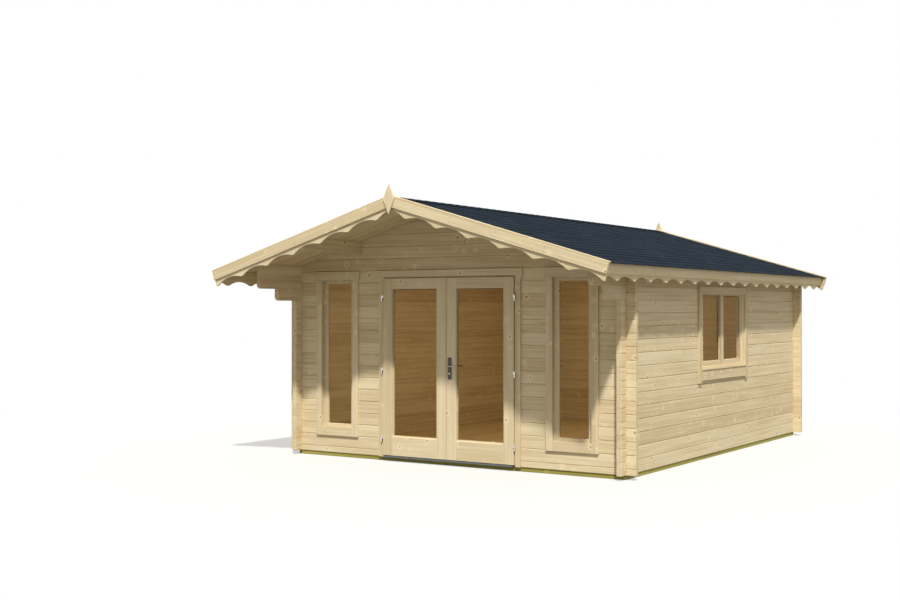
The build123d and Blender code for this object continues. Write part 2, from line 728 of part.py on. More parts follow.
x0, x1 = FIT / 2, SASH_END - FIT
sash = block(x0, x1, SASH_BACK, SASH_BACK + SASH_T, sash_low, sash_top)
g0, g1 = x0 + SASH_STILE, x1 - SASH_STILE
h0, h1 = sash_low + SASH_RAIL, sash_top - SASH_RAIL
sash -= block(g0, g1, -OVERRUN, LOG_T + OVERRUN, h0, h1)
d0 = SASH_BACK + SASH_GLASS
d1 = d0 + GLASS_T
bed = GLASS_BED
sash_pane = block(g0 - bed, g1 + bed, d0, d1, h0 - bed, h1 + bed)
bed = GLASS_BED + FIT
sash -= block(g0 - bed, g1 + bed, d0 - FIT, d1 + FIT, h0 - bed, h1 + bed)
add("side_window_sashes", *[side_place * shape for shape in both_sides(sash)])
add("side_window_glass", *[side_place * shape for shape in both_sides(sash_pane)])

side_x0 = SIDE_TRIM_HALF - SIDE_TRIM_W
upright = block(
    side_x0, SIDE_TRIM_HALF, -TRIM_T, 0, BASE_Z + SIDE_TRIM_LOW, BASE_Z + SIDE_HEADER_TOP
)
foot_x = side_x0 - FIT
side_header = block(
    -foot_x, foot_x, -TRIM_T, 0, BASE_Z + SIDE_HEADER_LOW, BASE_Z + SIDE_HEADER_TOP
)
side_foot = block(-foot_x, foot_x, -TRIM_T, 0, BASE_Z + SIDE_FOOT_LOW, SIDE_SILL - FIT)
side_trims = [*both_sides(upright), side_header, side_foot]
add("side_window_casing", *[side_place * trim for trim in side_trims])
sill = block(-foot_x, foot_x, -SILL_PROUD, LOG_T, SIDE_SILL, SIDE_SILL + SILL_T)
add("side_window_sill", side_place * sill)

os.makedirs("parts", exist_ok=True)
for name, solids in nodes.items():
    export_step(Compound(children=solids), f"parts/{name}.step")
    print(name, len(solids))
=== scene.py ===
# %% [markdown]
# # A garden log cabin
# The packed model is the cabin's carpentry: every log, board and pane at its true size and place.
# This lesson dresses it. Timbers get eased edges and their own grain, the roof gets shingles, the
# floor and the ceiling get boards, and the door gets its hardware.

# %% Load the carpentry
import json
import random
from math import cos, pi, radians, sin, tan

import bmesh
import bpy
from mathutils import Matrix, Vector

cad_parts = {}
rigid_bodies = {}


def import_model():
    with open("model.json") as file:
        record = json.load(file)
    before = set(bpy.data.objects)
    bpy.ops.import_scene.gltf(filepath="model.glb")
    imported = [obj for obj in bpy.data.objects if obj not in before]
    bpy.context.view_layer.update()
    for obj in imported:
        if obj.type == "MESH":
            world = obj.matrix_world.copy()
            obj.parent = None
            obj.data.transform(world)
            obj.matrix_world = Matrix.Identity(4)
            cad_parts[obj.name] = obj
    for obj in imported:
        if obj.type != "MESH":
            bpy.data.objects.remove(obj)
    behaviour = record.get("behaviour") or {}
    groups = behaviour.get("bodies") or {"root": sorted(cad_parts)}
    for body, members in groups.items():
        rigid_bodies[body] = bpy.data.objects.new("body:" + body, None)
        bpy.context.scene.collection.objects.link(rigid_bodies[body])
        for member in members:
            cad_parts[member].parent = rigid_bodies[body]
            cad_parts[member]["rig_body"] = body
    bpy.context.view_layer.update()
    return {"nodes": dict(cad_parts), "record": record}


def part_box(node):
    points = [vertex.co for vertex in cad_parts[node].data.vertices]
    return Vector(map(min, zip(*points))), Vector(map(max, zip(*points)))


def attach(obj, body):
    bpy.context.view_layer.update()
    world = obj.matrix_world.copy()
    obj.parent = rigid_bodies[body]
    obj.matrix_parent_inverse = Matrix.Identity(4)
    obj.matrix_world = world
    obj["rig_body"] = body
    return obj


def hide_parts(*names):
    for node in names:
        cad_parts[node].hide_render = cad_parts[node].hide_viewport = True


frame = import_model()
cad_nodes = frame["nodes"]

# %% [markdown]
# ## Camera
# The photograph was solved for its viewpoint: eye height, off the right front corner, with a
# moderately long lens. Setting the same numbers here lets the render lie over the photograph.


# %% Set up the camera
def show(thing):
    """Puts an object into the scene."""
    bpy.context.scene.collection.objects.link(thing)
    return thing


eye = show(bpy.data.objects.new("eye", bpy.data.cameras.new("eye")))
eye.location = (7.4401, -13.5831, 1.7091)
eye.rotation_euler = (radians(90.393), 0, radians(33.235))
eye.data.lens = 49.74
eye.data.sensor_width = 36
bpy.context.scene.camera = eye
bpy.context.scene.view_settings.view_transform = "Standard"
print("camera at", tuple(round(v, 2) for v in eye.location))

# %% [markdown]
# ## Writing finishes as recipes
# Every finish is a node tree. A small helper adds a node, sets its options and joins what feeds it,
# so that a recipe below reads from the raw pattern down to the surface.


# %% Make the recipe helper
class Recipe:
    """Adds nodes to one tree and joins them."""

    def __init__(self, tree):
        self.tree = tree

    def set(self, socket, feed):
        if isinstance(feed, bpy.types.NodeSocket):
            self.tree.links.new(feed, socket)
        elif feed is not None:
            socket.default_value = feed

    def add(self, kind, *feeds, **options):
        node = self.tree.nodes.new(kind)
        for option, value in options.items():
            setattr(node, option, value)
        for socket, feed in zip(node.inputs, feeds):
            self.set(socket, feed)
        return node

    def math(self, operation, *feeds):
        return self.add("ShaderNodeMath", *feeds, operation=operation).outputs[0]

    def times(self, value, share):
        return self.math("MULTIPLY", value, share)

    def plus(self, value, share, rest):
        """The value times a share, plus the rest."""
        return self.math("MULTIPLY_ADD", value, share, rest)

    def vector(self, operation, *feeds):
        return self.add("ShaderNodeVectorMath", *feeds, operation=operation).outputs[0]

    def blend(self, share, first, second):
        node = self.add("ShaderNodeMix", share, data_type="RGBA")
        self.set(node.inputs[6], first)
        self.set(node.inputs[7], second)
        return node.outputs[2]

    def fade(self, value, start, end, low=0.0, high=1.0):
        """Goes smoothly from low to high while the value goes from start to end."""
        node = self.add("ShaderNodeMapRange", value, start, end, low, high)
        node.interpolation_type = "SMOOTHSTEP"
        return node.outputs[0]

    def noise(self, place, scale, detail=2.0):
        node = self.add("ShaderNodeTexNoise")
        self.set(node.inputs["Vector"], place)
        node.inputs["Scale"].default_value = scale
        node.inputs["Detail"].default_value = detail
        return node.outputs[0]

    def carried(self, name, kind="Fac"):
        """What each timber carries under a name."""
        return self.add("ShaderNodeAttribute", attribute_name=name).outputs[kind]

    def stretch(self, place, along, across, through):
        return self.vector("MULTIPLY", place, (along, across, through))

    def bump(self, height, depth, strength):
        node = self.add("ShaderNodeBump")
        node.inputs["Strength"].default_value = strength
        node.inputs["Distance"].default_value = depth
        self.set(node.inputs["Height"], height)
        return node.outputs[0]


def new_finish(name):
    """An empty material: (material, its recipe, its shader)."""
    finish = bpy.data.materials.new(name)
    finish.use_nodes = True
    tree = finish.node_tree
    return finish, Recipe(tree), tree.nodes["Principled BSDF"]


print("recipe steps:", [n for n in vars(Recipe) if n[0] != "_"])

# %% [markdown]
# ## Light and floor
# The photograph has one soft sun from the upper right front: the canopy shades most of the front
# wall and the eave shades the top of the side wall. A sun lamp with a wide disc and an even pale sky
# give the same. The floor is pale and keeps the cabin's shadow. Further out it goes over into white.
# The camera, the glass and the metals see a white sky, which lights nothing by itself. The room behind
# the glass is warm brown in the photograph, so a wide warm lamp that is never seen hangs under the ridge.

# %% Light the cabin
sun_from = Vector((0.715, -1.0, 1.553))
sun = show(bpy.data.objects.new("sun", bpy.data.lights.new("sun", "SUN")))
sun.data.energy = 3.65
sun.data.angle = radians(2.5)
sun.data.color = (1.0, 0.97, 0.91)
sun.rotation_euler = sun_from.to_track_quat("Z", "Y").to_euler()

room_lamp = show(bpy.data.objects.new("room_lamp", bpy.data.lights.new("room_lamp", "AREA")))
room_lamp.data.shape = "RECTANGLE"
room_lamp.data.size, room_lamp.data.size_y = 2.0, 4.0
room_lamp.data.energy = 20.0
room_lamp.data.color = (1.0, 0.79, 0.48)
room_lamp.location = (0, 0.3, 2.35)
for ray in ("camera", "transmission", "glossy"):
    setattr(room_lamp, "visible_" + ray, False)

sky = bpy.data.worlds.new("sky")
bpy.context.scene.world = sky
sky.use_nodes = True
steps = Recipe(sky.node_tree)


def seen_share(steps):
    """1 for what is seen, also through glass and in a gloss, and 0 for light that is being spread."""
    path = steps.add("ShaderNodeLightPath").outputs
    beyond = steps.math("MAXIMUM", path["Is Glossy Ray"], path["Is Transmission Ray"])
    return steps.math("MAXIMUM", path["Is Camera Ray"], beyond)


soft = steps.add("ShaderNodeBackground", (1.0, 0.98, 0.92, 1), 0.57)
white = steps.add("ShaderNodeBackground", (1, 1, 1, 1), 1.0)
whole = steps.add("ShaderNodeMixShader", seen_share(steps), soft.outputs[0], white.outputs[0])
steps.set(sky.node_tree.nodes["World Output"].inputs["Surface"], whole.outputs[0])
print("sun height", round(90 - sun_from.angle(Vector((0, 0, 1))) * 180 / pi, 1), "degrees")

# %% Lay the floor
floor_half, floor_drop = 60.0, 0.001
floor_mesh = bpy.data.meshes.new("studio_floor")
corners = [(-1, -1), (1, -1), (1, 1), (-1, 1)]
spread = [(x * floor_half, y * floor_half, -floor_drop) for x, y in corners]
floor_mesh.from_pydata(spread, [], [(0, 1, 2, 3)])
studio_floor = show(bpy.data.objects.new("studio_floor", floor_mesh))

pale_floor, steps, shader = new_finish("pale_floor")
seen = seen_share(steps)
place = steps.add("ShaderNodeTexCoord").outputs["Object"]
cloudy = steps.fade(steps.noise(place, 0.4), 0.3, 0.7)
spread_tone, seen_tone = (0.24, 0.235, 0.22, 1), (0.76, 0.76, 0.75, 1)
steps.set(shader.inputs["Base Color"], steps.blend(seen, spread_tone, seen_tone))
steps.set(shader.inputs["Roughness"], steps.plus(cloudy, 0.05, 0.9))
shader.inputs["Specular IOR Level"].default_value = 0.1
distance = steps.add("ShaderNodeVectorMath", place, operation="LENGTH").outputs["Value"]
far_share = steps.times(steps.fade(distance, 3.0, 10.0, 0.45, 1.0), seen)
glow = steps.add("ShaderNodeEmission", (1, 1, 1, 1), 1.0)
floor_whole = steps.add("ShaderNodeMixShader", far_share, shader.outputs[0], glow.outputs[0])
steps.set(steps.tree.nodes["Material Output"].inputs["Surface"], floor_whole.outputs[0])
floor_mesh.materials.append(pale_floor)
print("floor", 2 * floor_half, "m wide")

# %% [markdown]
# ## Raw softwood
# Planed spruce shows growth rings, fine fibres, a slow change of tone and small knots, which have a dark
# core and pale wood around them. No two logs are the same colour. A picture of wood would repeat, so the
# finish is grown instead: rings lie around a wandering pith, so that faces show long arches and cut ends
# show circles. It reads three things that each timber carries: `grain`, its own coordinates with the
# length first, `tone`, a number that picks its shade and its place in the pattern, and `endwise`, which
# marks the cut ends. Trims are a little calmer than logs, and bearers are treated green. The fascias get
# a paler copy of the trim finish, a painted light that brightens them in the shade of the eave.


# %% Grow the softwood finish
def softwood(name, pale, deep, heart, pith=0.0, ring=0.0045, knot_cell=0.175, knot_size=0.12):
    """A raw timber: pale and deep colours, knot colour, pith offset, ring width and knots."""
    finish, steps, shader = new_finish(name)
    grain = steps.carried("grain", "Vector")
    tone = steps.carried("tone")
    ends = steps.carried("endwise")
    far_apart = 61.0
    own = steps.add("ShaderNodeCombineXYZ", steps.times(tone, far_apart))
    place = steps.vector("ADD", grain, own.outputs[0])
    fibre = steps.noise(steps.stretch(place, 5.0, 230.0, 230.0), 1.0, 3.0)
    streak = steps.noise(steps.stretch(place, 0.8, 45.0, 45.0), 1.0, 2.0)
    blotch = steps.noise(steps.stretch(place, 1.3, 9.0, 9.0), 1.0, 2.0)

    cells = steps.add("ShaderNodeTexVoronoi")
    steps.set(cells.inputs["Vector"], place)
    cells.inputs["Scale"].default_value = 1 / knot_cell
    ragged = steps.plus(fibre, 0.05, cells.outputs["Distance"])
    knot = steps.fade(ragged, 0.5 * knot_size, knot_size + 0.05, 1.0, 0.0)
    core = steps.fade(ragged, 0.3 * knot_size, 0.6 * knot_size, 0.0, 1.0)
    halo = steps.fade(cells.outputs["Distance"], 0.08, 0.28, 1.0, 0.0)

    axes = steps.add("ShaderNodeSeparateXYZ", grain).outputs
    sway = steps.plus(blotch, 0.07, steps.times(halo, 0.02))
    height = steps.math("ADD", axes[1], sway)
    depth = steps.math("ADD", axes[2], pith)
    square = steps.plus(height, height, steps.times(depth, depth))
    rings = steps.math("DIVIDE", steps.math("SQRT", square), ring)
    rings = steps.plus(fibre, 0.8, rings)
    late = steps.math("POWER", steps.math("FRACT", rings), 4.0)

    shade = 0.0
    for part, weight in ((blotch, 0.4), (late, 0.26), (fibre, 0.2), (streak, 0.7), (tone, 0.22)):
        shade = steps.plus(part, weight, shade)
    colour = steps.blend(steps.fade(shade, 0.55, 1.1), pale, deep)
    light = [min(0.95, 1.12 * v) for v in pale[:3]] + [1]
    colour = steps.blend(steps.times(halo, 0.75), colour, light)
    dark_core = [0.45 * v for v in heart[:3]] + [1]
    knot_colour = steps.blend(core, dark_core, heart)
    colour = steps.blend(steps.times(knot, 0.85), colour, knot_colour)
    warm_end = [0.95 * deep[0], 0.88 * deep[1], 0.74 * deep[2], 1]
    colour = steps.blend(steps.times(ends, 0.15), colour, warm_end)
    steps.set(shader.inputs["Base Color"], colour)

    rough = steps.plus(fibre, 0.22, 0.52)
    steps.set(shader.inputs["Roughness"], steps.plus(ends, 0.12, rough))
    shader.inputs["Specular IOR Level"].default_value = 0.08
    relief = steps.plus(late, 0.35, steps.times(fibre, 0.65))
    steps.set(shader.inputs["Normal"], steps.bump(relief, 0.0007, 0.4))
    return finish


knot_brown = (0.40, 0.235, 0.11, 1)
log_wood = softwood("log_wood", (0.80, 0.69, 0.47, 1), (0.60, 0.47, 0.28, 1), knot_brown)
trim_wood = softwood(
    "trim_wood", (0.77, 0.66, 0.45, 1), (0.60, 0.48, 0.29, 1), knot_brown, pith=0.06, knot_size=0.09
)
# A paler copy of the trim finish for the eave fascias: painted light that brightens them in the eave's
# shade.
fascia_wood = softwood(
    "fascia_wood", (0.90, 0.78, 0.54, 1), (0.76, 0.62, 0.39, 1), knot_brown, pith=0.06, knot_size=0.09
)
board_wood = softwood(
    "board_wood", (0.76, 0.63, 0.40, 1), (0.58, 0.43, 0.235, 1), knot_brown, pith=0.05
)
treated_wood = softwood(
    "treated_wood", (0.46, 0.42, 0.11, 1), (0.29, 0.26, 0.06, 1), (0.13, 0.10, 0.03, 1), pith=0.03
)
woods = (log_wood, trim_wood, fascia_wood, board_wood, treated_wood)
print("softwood finishes:", [wood.name for wood in woods])

# %% [markdown]
# ## A pile of timbers
# Planed timber never has knife edges: the planer eases every arris a little, and that edge catches the
# light and draws the joint between two logs. A CAD node holds several timbers in one mesh, so each is
# taken out on its own, its flat faces are joined again, and its arrises are bevelled. Then the pile
# writes down which way its grain runs, picks its tone and marks the faces that cut across the grain.


# %% Make the pile
class Pile:
    """Timbers that become one mesh, each with its own grain and tone."""

    steep, square_cut = 0.7, 0.8

    def __init__(self):
        self.points, self.faces = [], []
        self.grain, self.tone, self.ends = [], [], []

    def lay(self, solid, along, tone=0.5):
        """Adds the faces of a bmesh whose grain runs along a direction."""
        along = Vector(along).normalized()
        across = Vector((0, 0, 1)) if abs(along.z) < self.steep else Vector((1, 0, 0))
        through = along.cross(across).normalized()
        across = through.cross(along)
        middle = sum((v.co for v in solid.verts), Vector()) / len(solid.verts)
        solid.verts.index_update()
        start = len(self.points)
        for vert in solid.verts:
            offset = vert.co - middle
            self.points.append(vert.co[:])
            self.grain += [offset.dot(along), offset.dot(across), offset.dot(through)]
            self.tone.append(tone)
        for face in solid.faces:
            face.normal_update()
            self.faces.append([start + v.index for v in face.verts])
            self.ends.append(float(abs(face.normal.dot(along)) > self.square_cut))

    def mesh(self, name, *finishes, crease=12):
        made = bpy.data.meshes.new(name)
        made.from_pydata(self.points, [], self.faces)
        made.attributes.new("grain", "FLOAT_VECTOR", "POINT").data.foreach_set("vector", self.grain)
        made.attributes.new("tone", "FLOAT", "POINT").data.foreach_set("value", self.tone)
        made.attributes.new("endwise", "FLOAT", "FACE").data.foreach_set("value", self.ends)
        made.shade_smooth()
        made.set_sharp_from_angle(angle=radians(crease))
        for finish in finishes:
            made.materials.append(finish)
        return made


def stand(mesh, body, slot, *stands_for):
    """Makes a mesh a piece of the cabin that rides on a body."""
    piece = show(bpy.data.objects.new(mesh.name, mesh))
    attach(piece, body)
    if stands_for:
        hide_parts(*stands_for)
    return piece


print("pile ready")


# %% Take timbers out of a node
def box_of(solid):
    """Lowest and highest corner of a solid."""
    axes = list(zip(*(v.co for v in solid.verts)))
    return Vector([min(axis) for axis in axes]), Vector([max(axis) for axis in axes])


def loose(whole):
    """Each separate solid of a bmesh, sorted from the ground up."""
    whole.verts.index_update()
    whole.faces.index_update()
    left = set(whole.verts)
    found = []
    while left:
        queue = [left.pop()]
        group = set(queue)
        while queue:
            for edge in queue.pop().link_edges:
                for vert in edge.verts:
                    if vert in left:
                        left.discard(vert)
                        group.add(vert)
                        queue.append(vert)
        solid = bmesh.new()
        ordered = sorted(group, key=lambda v: v.index)
        copies = {v: solid.verts.new(v.co) for v in ordered}
        for face in sorted({f for v in ordered for f in v.link_faces}, key=lambda f: f.index):
            solid.faces.new([copies[v] for v in face.verts])
        found.append(solid)

    def place(solid):
        x, y, z = box_of(solid)[0]
        return round(z, 3), round(x, 3), round(y, 3)

    return sorted(found, key=place)


def islands(node):
    """Each separate solid of a CAD node, whose triangles are loose."""
    whole = bmesh.new()
    whole.from_mesh(cad_nodes[node].data)
    bmesh.ops.remove_doubles(whole, verts=whole.verts, dist=weld)
    return loose(whole)


weld, flat_angle, arris_angle = 2e-5, radians(0.5), radians(30)
print("timbers of the finials:", len(islands("finials")))


# %% Ease the arrises and dress the logs
def flatten(solid):
    """Joins the triangles of flat faces."""
    bmesh.ops.dissolve_limit(solid, angle_limit=flat_angle, verts=solid.verts, edges=solid.edges)


def ease(solid, arris, rounds=2):
    """Joins flat faces and bevels every arris of one solid."""
    flatten(solid)
    sharp = [e for e in solid.edges if e.is_manifold and e.calc_face_angle(0) > arris_angle]
    bmesh.ops.bevel(
        solid, geom=sharp, offset=arris, offset_type="OFFSET", segments=rounds,
        profile=0.5, affect="EDGES", clamp_overlap=True,
    )


timber_boxes = {}


def dress(node, finish, arris, rounds=1, along=None):
    """Stands eased timbers in place of a CAD node and keeps their boxes."""
    pile = Pile()
    draw = random.Random(node)
    timber_boxes[node] = []
    for solid in islands(node):
        low, high = box_of(solid)
        size = high - low
        timber_boxes[node].append((low, high))
        way = along(low, high) if along else [float(s == max(size)) for s in size]
        ease(solid, arris, rounds)
        pile.lay(solid, way, draw.random())
        solid.free()
    slot = next(r["material_slot"] for r in frame["record"]["subparts"] if r["node"] == node)
    mesh = pile.mesh(node + "_timber", finish)
    return stand(mesh, cad_nodes[node]["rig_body"], slot, node)


log_nodes = sorted(n for n in cad_nodes if n.endswith(("_logs", "_log", "purlin", "purlins")))
log_arris = 0.0035
for node in log_nodes:
    dress(node, log_wood, log_arris)
print(len(log_nodes), "log nodes,", sum(len(timber_boxes[n]) for n in log_nodes), "timbers")

# %% [markdown]
# ## Boards and frames
# The trims around the openings and the boards along the roof edges are planed thinner than the logs. They
# get the same treatment with a finer arris. Only the boards along the verge need help: their length runs
# down the slope, so the slope gives the way of their grain. The eave fascias are painted paler than the
# other trims, a painted light that brightens them in the shade of the eave, and the bearers and joists
# under the floor are treated green.

# %% Dress the boards and frames
roof_pitch = radians(16.44)


def down_slope(low, high):
    side = 1 if low.x + high.x > 0 else -1
    return (cos(roof_pitch), 0, -side * sin(roof_pitch))


trim_arris, cap_arris, bearer_arris = 0.002, 0.004, 0.003
verge_boards = ["front_bargeboards", "back_bargeboards", "front_scalloped_boards", "back_scalloped_boards"]
for node in verge_boards:
    dress(node, trim_wood, trim_arris, rounds=2, along=down_slope)
dress("verge_caps", trim_wood, cap_arris, rounds=2, along=down_slope)
plain_trims = [
    "eave_fascias", "eave_scalloped_boards", "finials", "door_frame", "door_casing", "front_window_frames",
    "front_window_casings", "side_window_frame", "side_window_casing", "side_window_sill",
]
for node in plain_trims:
    dress(node, fascia_wood if node == "eave_fascias" else trim_wood, trim_arris, rounds=2)
for node in ("perimeter_bearers", "floor_joists"):
    dress(node, treated_wood, bearer_arris)
print(len(verge_boards) + 1 + len(plain_trims), "trim nodes")

# %% [markdown]
# ## Door leaves and casements
# A joiner builds a leaf from stiles that run its whole height and rails between them, and the eye reads
# the joints and the turn of the grain. The CAD leaf is one solid, so it is sawn along the inner edges of
# its stiles. Each part then keeps its bevel and its glass groove and gets its own grain.


# %% Saw leaves and casements into stiles and rails
def saw(solid, spot, way):
    """Both parts of a solid that is cut along a plane, with the cuts closed."""
    parts = []
    for facing in (1, -1):
        part = solid.copy()
        everything = part.verts[:] + part.edges[:] + part.faces[:]
        cut = bmesh.ops.bisect_plane(
            part, geom=everything, plane_co=spot, plane_no=Vector(way) * facing, clear_outer=True
        )
        rim = [g for g in cut["geom_cut"] if isinstance(g, bmesh.types.BMEdge)]
        bmesh.ops.edgenet_fill(part, edges=rim)
        bmesh.ops.recalc_face_normals(part, faces=part.faces)
        parts.append(part)
    return parts


def joinery(node, axis, stile):
    """Stands stiles and rails in place of a glazed frame whose width runs along an axis."""
    pile = Pile()
    draw = random.Random(node)
    way = [float(i == axis) for i in range(3)]
    for solid in islands(node):
        low, high = box_of(solid)
        flatten(solid)
        near, far = Vector(low), Vector(high)
        near[axis] += stile
        far[axis] -= stile
        first, rest = saw(solid, near, way)
        middle, last = saw(rest, far, way)
        parts = [(part, (0, 0, 1)) for part in (first, last)] + [(rail, way) for rail in loose(middle)]
        for part, length in parts:
            ease(part, leaf_arris)
            pile.lay(part, length, draw.random())
    mesh = pile.mesh(node + "_timber", trim_wood)
    return stand(mesh, cad_nodes[node]["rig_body"], "trim_timber", node)


leaf_stile, sash_stile, leaf_arris = 0.126, 0.053, 0.0015
for node in ("left_door_leaf", "right_door_leaf"):
    joinery(node, 0, leaf_stile)
joinery("side_window_sashes", 1, sash_stile)
print("leaves and casements sawn")

# %% [markdown]
# ## Glass and metals
# Window glass is clear, slightly uneven and here a touch bronze. In the photograph the panes are dark, and
# a full gloss would veil them with the white around, so the gloss is kept low. Glass also has to let the
# lamps into the room, so rays of light pass it freely while the eye sees a real pane. The metals are few:
# zinc plated hinges, steel nails, a bronze handle, a nickel key cylinder and a mill finish threshold.

# %% Mix the glass
clear_glass, steps, shader = new_finish("clear_glass")
place = steps.add("ShaderNodeTexCoord").outputs["Object"]
film = steps.noise(place, 3.0, 3.0)
clean, dusty = (0.95, 0.93, 0.88, 1), (0.90, 0.87, 0.80, 1)
steps.set(shader.inputs["Base Color"], steps.blend(film, clean, dusty))
steps.set(shader.inputs["Roughness"], steps.fade(film, 0.45, 0.8, 0.0, 0.035))
shader.inputs["IOR"].default_value = 1.03
shader.inputs["Transmission Weight"].default_value = 1.0
path = steps.add("ShaderNodeLightPath").outputs
passing = steps.add("ShaderNodeBsdfTransparent", (0.92, 0.9, 0.86, 1))
pane = steps.add("ShaderNodeMixShader", path["Is Shadow Ray"], shader.outputs[0], passing.outputs[0])
steps.set(steps.tree.nodes["Material Output"].inputs["Surface"], pane.outputs[0])


def refinish(node, finish):
    """Gives a CAD node a finish of its own."""
    cad_nodes[node].data.materials.clear()
    cad_nodes[node].data.materials.append(finish)


panes = sorted(n for n in cad_nodes if n.endswith("_glass"))
for node in panes:
    refinish(node, clear_glass)
print("glazed:", panes)


# %% Mix the metals
def metal(name, bright, dull, shine, wear, along):
    """A metal whose brushing runs along one axis: two colours, roughness, patchiness."""
    finish, steps, shader = new_finish(name)
    place = steps.add("ShaderNodeTexCoord").outputs["Object"]
    fine, long = 1400.0, 40.0
    brushing = [long if axis == along else fine for axis in range(3)]
    brush = steps.noise(steps.stretch(place, *brushing), 1.0, 2.0)
    patch = steps.noise(place, 60.0, 3.0)
    mixed = steps.plus(patch, wear, steps.times(brush, 1 - wear))
    steps.set(shader.inputs["Base Color"], steps.blend(steps.fade(mixed, 0.3, 0.7), bright, dull))
    steps.set(shader.inputs["Roughness"], steps.plus(mixed, 0.25, shine))
    shader.inputs["Metallic"].default_value = 1.0
    steps.set(shader.inputs["Normal"], steps.bump(brush, 0.0002, 0.2))
    return finish


zinc = metal("zinc", (0.76, 0.75, 0.72, 1), (0.60, 0.59, 0.57, 1), 0.16, 0.6, 2)
bronze = metal("dark_bronze", (0.105, 0.092, 0.082, 1), (0.056, 0.05, 0.046, 1), 0.3, 0.8, 2)
satin = metal("satin_bronze", (0.38, 0.35, 0.31, 1), (0.27, 0.25, 0.22, 1), 0.25, 0.7, 0)
steel = metal("nail_steel", (0.36, 0.35, 0.34, 1), (0.22, 0.215, 0.21, 1), 0.35, 0.6, 2)
nickel = metal("nickel", (0.72, 0.70, 0.66, 1), (0.55, 0.53, 0.50, 1), 0.2, 0.7, 1)
mill_metal = metal("mill_metal", (0.20, 0.215, 0.22, 1), (0.13, 0.14, 0.145, 1), 0.42, 0.35, 0)
print("metals: zinc, dark bronze, satin bronze, nail steel, nickel, mill finish")

# %% [markdown]
# ## Shapes one by one
# Small parts need a few meshes made one by one: bars with a given section, turned parts and rounded
# plates.
# Each comes out as a closed bmesh with its faces outwards, so that it can go into a pile or be the
# pattern that Geometry Nodes repeat.


# %% Make the shape helpers
def closed(points, faces):
    """A bmesh from points and faces, with its normals outwards."""
    solid = bmesh.new()
    verts = [solid.verts.new(p) for p in points]
    for face in faces:
        solid.faces.new([verts[i] for i in face])
    bmesh.ops.recalc_face_normals(solid, faces=solid.faces)
    return solid


def sweep(rings):
    """A closed skin through rings of points that all have the same count."""
    count = len(rings[0])
    points = [p for ring in rings for p in ring]
    faces = [list(range(count))[::-1], list(range(len(points) - count, len(points)))]
    for r in range(len(rings) - 1):
        for i in range(count):
            a, b = r * count + i, r * count + (i + 1) % count
            faces.append([a, b, b + count, a + count])
    return closed(points, faces)


def circle(radius, sides):
    """Points around a circle, as pairs."""
    turns = [2 * pi * i / sides for i in range(sides)]
    return [(radius * cos(t), radius * sin(t)) for t in turns]


def turned(profile, sides):
    """A turned part around Z from pairs of radius and height."""
    return sweep([[(a, b, height) for a, b in circle(radius, sides)] for radius, height in profile])


def rounded(width, height, corner, steps_round=5):
    """The outline of a plate with round corners, as pairs."""
    spots = []
    for sx, sy, start in ((1, 1, 0), (-1, 1, 1), (-1, -1, 2), (1, -1, 3)):
        for i in range(steps_round + 1):
            turn = (start + i / steps_round) * pi / 2
            spots.append((
                sx * (width / 2 - corner) + corner * cos(turn),
                sy * (height / 2 - corner) + corner * sin(turn),
            ))
    return spots


def pattern(name, solid, along):
    """An object that Geometry Nodes repeat and that is thrown away afterwards."""
    pile = Pile()
    pile.lay(solid, along)
    shape = show(bpy.data.objects.new(name, pile.mesh(name)))
    shape.data.attributes.remove(shape.data.attributes["tone"])
    return shape


print("shape helpers ready")

# %% [markdown]
# ## Repeating with Geometry Nodes
# Boards, shingles, nails and screws repeat by a rule, so one tree for each rule does the work. A tree
# gets points, puts the pattern on every point, writes a random tone on each copy, makes the copies real
# and gives them their finish. The result is then kept as a plain mesh, because an export has no
# modifiers and no instances.


# %% Make the tree helper
class Tree(Recipe):
    """A Geometry Nodes tree with named inputs."""

    def __init__(self, name):
        super().__init__(bpy.data.node_groups.new(name, "GeometryNodeTree"))
        for way in ("OUTPUT", "INPUT"):
            self.tree.interface.new_socket("Geometry", in_out=way, socket_type="NodeSocketGeometry")
        self.entry = self.add("NodeGroupInput")
        self.leave = self.add("NodeGroupOutput")

    def inputs(self, **kinds):
        """New named inputs of the tree, in the order given."""
        names = [key.replace("_", " ").title() for key in kinds]
        for name, kind in zip(names, kinds.values()):
            self.tree.interface.new_socket(name, in_out="INPUT", socket_type="NodeSocket" + kind)
        return [self.entry.outputs[name] for name in names]

    def repeat(self, points, shape, turn=None, scale=None, seed=None):
        """Puts a shape on points, with a random tone for each copy, and makes the copies real."""
        found = self.add("GeometryNodeObjectInfo", shape).outputs["Geometry"]
        copies = self.add("GeometryNodeInstanceOnPoints", points)
        self.set(copies.inputs["Instance"], found)
        self.set(copies.inputs["Rotation"], turn)
        self.set(copies.inputs["Scale"], scale)
        draw = self.add("FunctionNodeRandomValue", data_type="FLOAT")
        self.set(draw.inputs["Seed"], seed)
        drawn = next(s for s in draw.outputs if s.enabled)
        keep = self.add("GeometryNodeStoreNamedAttribute", copies.outputs[0], domain="INSTANCE")
        keep.data_type = "FLOAT"
        keep.inputs["Name"].default_value = "tone"
        self.set(keep.inputs["Value"], drawn)
        return self.add("GeometryNodeRealizeInstances", keep.outputs[0]).outputs[0]

    def end(self, geometry, finish):
        dyed = self.add("GeometryNodeSetMaterial", geometry)
        self.set(dyed.inputs["Material"], finish)
        self.set(self.leave.inputs[0], dyed.outputs[0])


def grow(name, tree, start_mesh=None, **values):
    """Runs a tree with its named inputs and returns a plain mesh."""
    bed = show(bpy.data.objects.new(name, start_mesh or bpy.data.meshes.new(name + "_bed")))
    modifier = bed.modifiers.new(name, "NODES")
    modifier.node_group = tree.tree
    for socket in tree.tree.interface.items_tree:
        key = socket.name.lower().replace(" ", "_")
        if socket.in_out == "INPUT" and key in values:
            modifier[socket.identifier] = values[key]
    graph = bpy.context.evaluated_depsgraph_get()
    mesh = bpy.data.meshes.new_from_object(bed.evaluated_get(graph))
    mesh.name = name
    bpy.data.objects.remove(bed)
    return mesh


print("tree helper ready")

